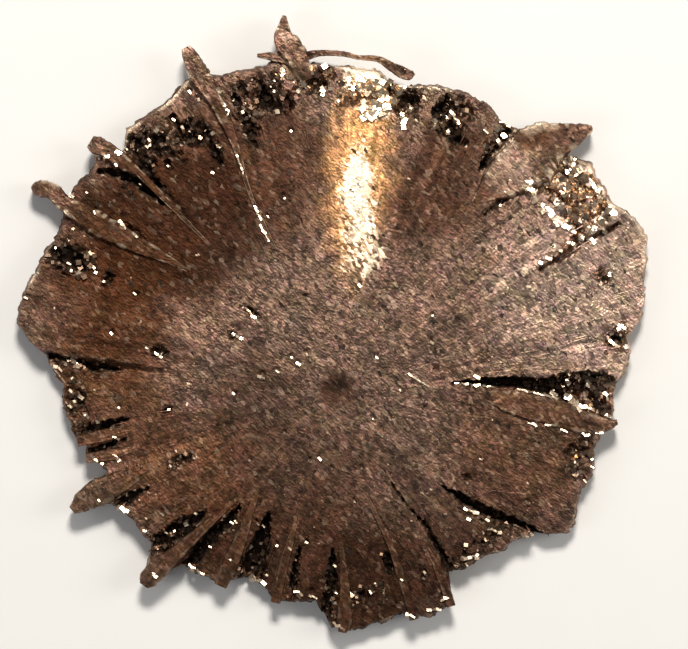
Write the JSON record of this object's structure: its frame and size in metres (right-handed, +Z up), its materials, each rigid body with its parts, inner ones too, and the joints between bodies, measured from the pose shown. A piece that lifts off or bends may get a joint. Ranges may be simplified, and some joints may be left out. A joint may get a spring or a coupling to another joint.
{
  "type": "pyrite sun",
  "caption": "Flat disc of radiating metallic crystal with a toothed rim, raised laths, clefts and crystal-lined pits; a mineral specimen for display.",
  "frame": {"origin": "on the flat underside, straight below the point the crystals radiate from", "axes": "+Z up out of the better face; +Y towards the tall spire at the top of the picture; +X to the picture's right"},
  "size_m": [0.0824, 0.0804, 0.0048],
  "materials": {
    "tarnished_pyrite": "tarnished, fine-grained, dull metal shine"
  },
  "bodies": {
    "root": {"pyrite_sun": "tarnished_pyrite"}
  },
  "joints": []
}
